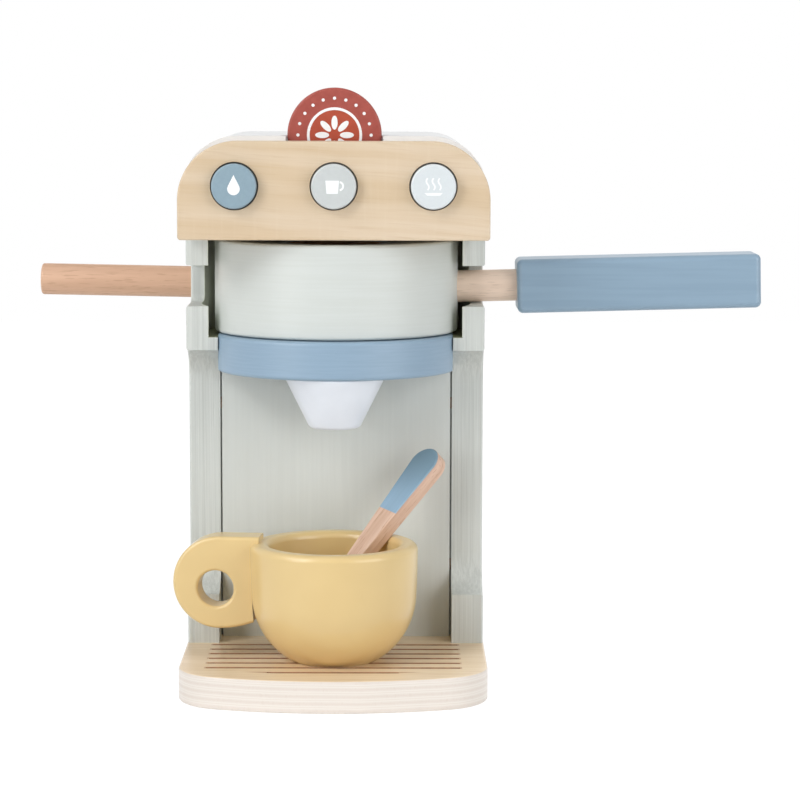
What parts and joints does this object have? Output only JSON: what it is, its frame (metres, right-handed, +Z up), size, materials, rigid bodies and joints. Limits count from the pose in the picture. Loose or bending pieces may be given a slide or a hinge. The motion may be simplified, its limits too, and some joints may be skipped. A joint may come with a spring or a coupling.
{
  "type": "toy coffee maker",
  "caption": "Wooden toy coffee maker with a turning filter drum and handle, sprung buttons, coin slot, spout shelf, and a loose cup with a stirrer.",
  "frame": {"origin": "on the flat underside of the base, straight below the axis that the filter drum turns on", "axes": "+X to the viewer's right along the handle, +Y from the front to the back, +Z up"},
  "size_m": [0.2795, 0.1435, 0.2249],
  "materials": {
    "plywood": "pale birch plywood, satin clear coat",
    "beech": "plain turned beech, fine sanded",
    "fascia_wood": "pale natural wood, satin clear coat",
    "sage_paint": "wood under matt sage paint, grain showing",
    "white_paint": "wood under satin white paint",
    "blue_paint": "wood under satin dusty blue paint",
    "grey_paint": "wood under satin pale grey paint",
    "ice_paint": "wood under satin ice white paint",
    "yellow_paint": "wood under satin pale yellow paint",
    "coin_red": "wood under matt brick red paint",
    "hardboard": "bare hardboard",
    "steel": "plain bright steel"
  },
  "bodies": {
    "housing": {"base_plate": "plywood", "left_side_panel": "sage_paint", "right_side_panel": "sage_paint", "back_panel": "sage_paint", "rear_panel": "sage_paint", "head_floor": "plywood", "head_hood": "white_paint", "head_back": "white_paint", "fascia": "fascia_wood", "button_plate": "hardboard", "coin_holder": "beech", "spout_shelf": "blue_paint", "funnel": "white_paint", "pivot_dowel": "beech", "steam_wand": "beech", "base_screws": "steel", "shelf_screws": "steel", "head_screws": "steel", "joint_dowels": "beech", "fascia_dowels": "beech", "left_button_spring": "steel", "middle_button_spring": "steel", "right_button_spring": "steel"},
    "coin": {"coffee_coin": "coin_red"},
    "left_button": {"left_button": "blue_paint"},
    "middle_button": {"middle_button": "grey_paint"},
    "right_button": {"right_button": "ice_paint"},
    "portafilter": {"portafilter_drum": "sage_paint", "handle_rod": "beech", "handle_grip": "blue_paint"},
    "cup": {"cup_bowl": "yellow_paint", "cup_handle": "yellow_paint"},
    "stirrer": {"stirrer": "beech"}
  },
  "joints": [
    {"name": "left_button_press", "type": "slide", "parent": "housing", "child": "left_button", "axis": [0, 1, 0], "range_m": [0, 0.0032], "stiffness_N_per_m": 300, "springref_m": -0.002, "deforming": ["left_button_spring"]},
    {"name": "middle_button_press", "type": "slide", "parent": "housing", "child": "middle_button", "axis": [0, 1, 0], "range_m": [0, 0.0032], "stiffness_N_per_m": 300, "springref_m": -0.002, "deforming": ["middle_button_spring"]},
    {"name": "right_button_press", "type": "slide", "parent": "housing", "child": "right_button", "axis": [0, 1, 0], "range_m": [0, 0.0032], "stiffness_N_per_m": 300, "springref_m": -0.002, "deforming": ["right_button_spring"]},
    {"name": "portafilter_turn", "type": "hinge", "parent": "housing", "child": "portafilter", "pos_m": [0, 0, 0.1314], "axis": [0, 0, 1], "range_deg": [-180, 0]},
    {"name": "coin_lift", "type": "slide", "parent": "housing", "child": "coin", "axis": [0, 0, 1], "range_m": [0, 0.03]},
    {"name": "cup_slide", "type": "slide", "parent": "housing", "child": "cup", "axis": [0, -1, 0], "range_m": [0, 0.075]},
    {"name": "stirrer_stir", "type": "hinge", "parent": "cup", "child": "stirrer", "pos_m": [0, -0.0455, 0.018], "axis": [0, 0, 1], "range_deg": [-180, 0]}
  ]
}
